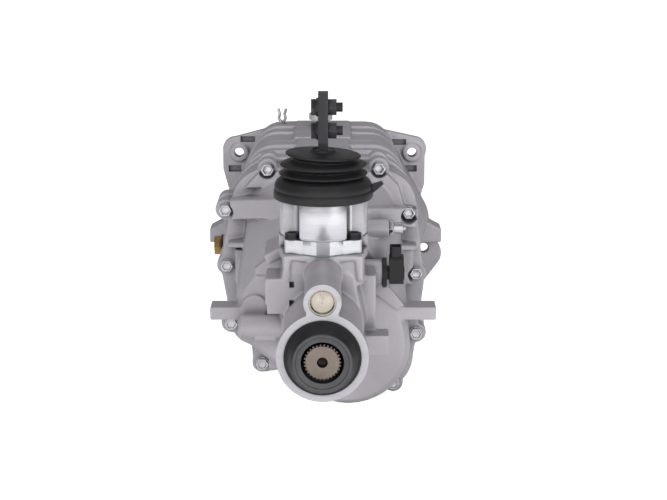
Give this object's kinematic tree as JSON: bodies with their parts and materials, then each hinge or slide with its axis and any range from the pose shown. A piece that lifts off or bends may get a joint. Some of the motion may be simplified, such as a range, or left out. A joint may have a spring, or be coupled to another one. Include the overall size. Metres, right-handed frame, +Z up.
{
  "type": "manual transmission",
  "caption": "Manual gearbox for a rear-drive car: bell housing, ribbed case, tail housing with a booted shift lever, and a gear train that turns and shifts inside.",
  "frame": {"origin": "centre of the bell housing's engine face on the input shaft's axis", "axes": "+Y along the shafts towards the engine, -Y to the tail, +Z up towards the shift lever, +X to the right seen from the tail"},
  "size_m": [0.322, 0.659, 0.389],
  "materials": {
    "black_plastic": "moulded, matt",
    "black_rubber": "moulded, matt",
    "black_steel": "black phosphate, semi-gloss",
    "brass": "turned, satin",
    "bright_metal": "pressed, bright",
    "bronze": "sintered, matt",
    "cast_alloy": "sand-blasted casting, satin",
    "gear_steel": "ground, oiled",
    "spring_steel": "drawn wire, bright",
    "turned_alloy": "turned, bright",
    "zinc_steel": "bright zinc plate"
  },
  "bodies": {
    "housing": {"bearing_balls": "bright_metal", "bearing_outer_races": "gear_steel", "bearing_plate": "cast_alloy", "bell_housing": "cast_alloy", "breather": "zinc_steel", "case_bolts": "zinc_steel", "case_plugs": "brass", "centring_spring": "spring_steel", "detents": "spring_steel", "extension_housing": "cast_alloy", "front_bearing_retainer": "turned_alloy", "front_bolts": "zinc_steel", "gear_case": "cast_alloy", "input_oil_seal": "black_rubber", "lever_ball_seat": "black_plastic", "lever_boot": "black_rubber", "lever_retainer": "turned_alloy", "output_oil_seal": "black_rubber", "plug_washers": "black_rubber", "retainer_bolts": "black_steel", "reverse_idler_shaft": "gear_steel", "reverse_light_switch": "brass", "seat_snap_ring": "black_steel", "speed_sensor": "black_plastic", "tail_bush": "bronze", "welch_plug": "bright_metal"},
    "countershaft_set": {"countershaft": "gear_steel", "counter_rear_gears": "gear_steel", "counter_nut": "gear_steel", "counter_inner_races": "gear_steel"},
    "main_shaft_set": {"main_shaft": "gear_steel", "main_inner_race": "gear_steel", "main_spacers": "gear_steel", "synchro_hubs": "gear_steel", "synchro_rings": "brass", "speed_drive_ring": "gear_steel"},
    "input_set": {"input_shaft": "gear_steel", "input_bearing_rings": "gear_steel"},
    "third_wheel": {"third_gear": "gear_steel"},
    "second_wheel": {"second_gear": "gear_steel"},
    "first_wheel": {"first_gear": "gear_steel"},
    "fifth_wheel": {"fifth_gear": "gear_steel"},
    "reverse_wheel": {"reverse_gear": "gear_steel"},
    "reverse_idler": {"reverse_idler_gear": "gear_steel"},
    "sleeve_34": {"shift_sleeve_34": "gear_steel"},
    "sleeve_12": {"shift_sleeve_12": "gear_steel"},
    "sleeve_5r": {"shift_sleeve_5r": "gear_steel"},
    "lever_cross": {"lever_pivot_pins": "gear_steel"},
    "lever": {"shift_lever": "black_steel", "lever_bolts": "black_steel", "lever_nuts": "black_steel"},
    "interlock": {"interlock_plate": "gear_steel"},
    "control": {"control_shaft": "gear_steel"},
    "rail_34": {"shift_rail_34": "gear_steel", "shift_fork_34": "gear_steel"},
    "rail_12": {"shift_rail_12": "gear_steel", "shift_fork_12": "gear_steel"},
    "rail_5r": {"shift_rail_5r": "gear_steel", "shift_fork_5r": "gear_steel"},
    "speed_drive": {"speed_driven_gear": "black_plastic"}
  },
  "joints": [
    {"name": "counter_spin", "type": "hinge", "parent": "housing", "child": "countershaft_set", "pos_m": [0.02622, 0, -0.0649], "axis": [0, 1, 0], "continuous": true},
    {"name": "output_spin", "type": "hinge", "parent": "housing", "child": "main_shaft_set", "pos_m": [0, 0, 0], "axis": [0, 1, 0], "continuous": true},
    {"name": "input_spin", "type": "hinge", "parent": "housing", "child": "input_set", "pos_m": [0, 0, 0], "axis": [0, 1, 0], "continuous": true},
    {"name": "third_spin", "type": "hinge", "parent": "housing", "child": "third_wheel", "pos_m": [0, 0, 0], "axis": [0, 1, 0], "continuous": true},
    {"name": "second_spin", "type": "hinge", "parent": "housing", "child": "second_wheel", "pos_m": [0, 0, 0], "axis": [0, 1, 0], "continuous": true},
    {"name": "first_spin", "type": "hinge", "parent": "housing", "child": "first_wheel", "pos_m": [0, 0, 0], "axis": [0, 1, 0], "continuous": true},
    {"name": "fifth_spin", "type": "hinge", "parent": "housing", "child": "fifth_wheel", "pos_m": [0, 0, 0], "axis": [0, 1, 0], "continuous": true},
    {"name": "reverse_spin", "type": "hinge", "parent": "housing", "child": "reverse_wheel", "pos_m": [0, 0, 0], "axis": [0, 1, 0], "continuous": true},
    {"name": "idler_spin", "type": "hinge", "parent": "housing", "child": "reverse_idler", "pos_m": [0.05507, 0, -0.03903], "axis": [0, 1, 0], "continuous": true},
    {"name": "speed_spin", "type": "hinge", "parent": "housing", "child": "speed_drive", "pos_m": [0, -0.434, 0.034], "axis": [1, 0, 0], "continuous": true},
    {"name": "lever_select", "type": "hinge", "parent": "housing", "child": "lever_cross", "pos_m": [0, -0.485, 0.117], "axis": [0, 1, 0], "range_deg": [-6, 6], "stiffness_Nm_per_rad": 8},
    {"name": "lever_shift", "type": "hinge", "parent": "lever_cross", "child": "lever", "pos_m": [0, -0.485, 0.117], "axis": [1, 0, 0], "range_deg": [-8.9, 8.9], "deforming": ["lever_boot"]},
    {"name": "control_select", "type": "hinge", "parent": "housing", "child": "interlock", "pos_m": [0, -0.36, 0.057], "axis": [0, 1, 0], "range_deg": [-17.7, 17.7]},
    {"name": "control_shift", "type": "slide", "parent": "interlock", "child": "control", "axis": [0, 1, 0], "range_m": [-0.007, 0.007], "deforming": ["centring_spring"]},
    {"name": "rail_34_slide", "type": "slide", "parent": "housing", "child": "rail_34", "axis": [0, 1, 0], "range_m": [-0.007, 0.007]},
    {"name": "sleeve_34_slide", "type": "slide", "parent": "main_shaft_set", "child": "sleeve_34", "axis": [0, 1, 0], "range_m": [-0.007, 0.007]},
    {"name": "rail_12_slide", "type": "slide", "parent": "housing", "child": "rail_12", "axis": [0, 1, 0], "range_m": [-0.007, 0.007]},
    {"name": "sleeve_12_slide", "type": "slide", "parent": "main_shaft_set", "child": "sleeve_12", "axis": [0, 1, 0], "range_m": [-0.007, 0.007]},
    {"name": "rail_5r_slide", "type": "slide", "parent": "housing", "child": "rail_5r", "axis": [0, 1, 0], "range_m": [-0.007, 0.007]},
    {"name": "sleeve_5r_slide", "type": "slide", "parent": "main_shaft_set", "child": "sleeve_5r", "axis": [0, 1, 0], "range_m": [-0.007, 0.007]}
  ],
  "couplings": [
    {"joint": "input_spin", "follows": "counter_spin", "ratio": -1.4348},
    {"joint": "third_spin", "follows": "counter_spin", "ratio": -1},
    {"joint": "second_spin", "follows": "counter_spin", "ratio": -0.6},
    {"joint": "first_spin", "follows": "counter_spin", "ratio": -0.33333},
    {"joint": "fifth_spin", "follows": "counter_spin", "ratio": -1.6667},
    {"joint": "idler_spin", "follows": "counter_spin", "ratio": -0.72222},
    {"joint": "reverse_spin", "follows": "counter_spin", "ratio": 0.36111},
    {"joint": "speed_spin", "follows": "output_spin", "ratio": 2},
    {"joint": "control_select", "follows": "lever_select", "ratio": -2.93},
    {"joint": "control_shift", "follows": "lever_shift", "m_per_rad": 0.045},
    {"joint": "rail_34_slide", "follows": "lever_shift", "m_per_rad": 0.045},
    {"joint": "sleeve_34_slide", "follows": "lever_shift", "m_per_rad": 0.045},
    {"joint": "sleeve_12_slide", "follows": "rail_12_slide", "ratio": 1},
    {"joint": "sleeve_5r_slide", "follows": "rail_5r_slide", "ratio": 1}
  ]
}
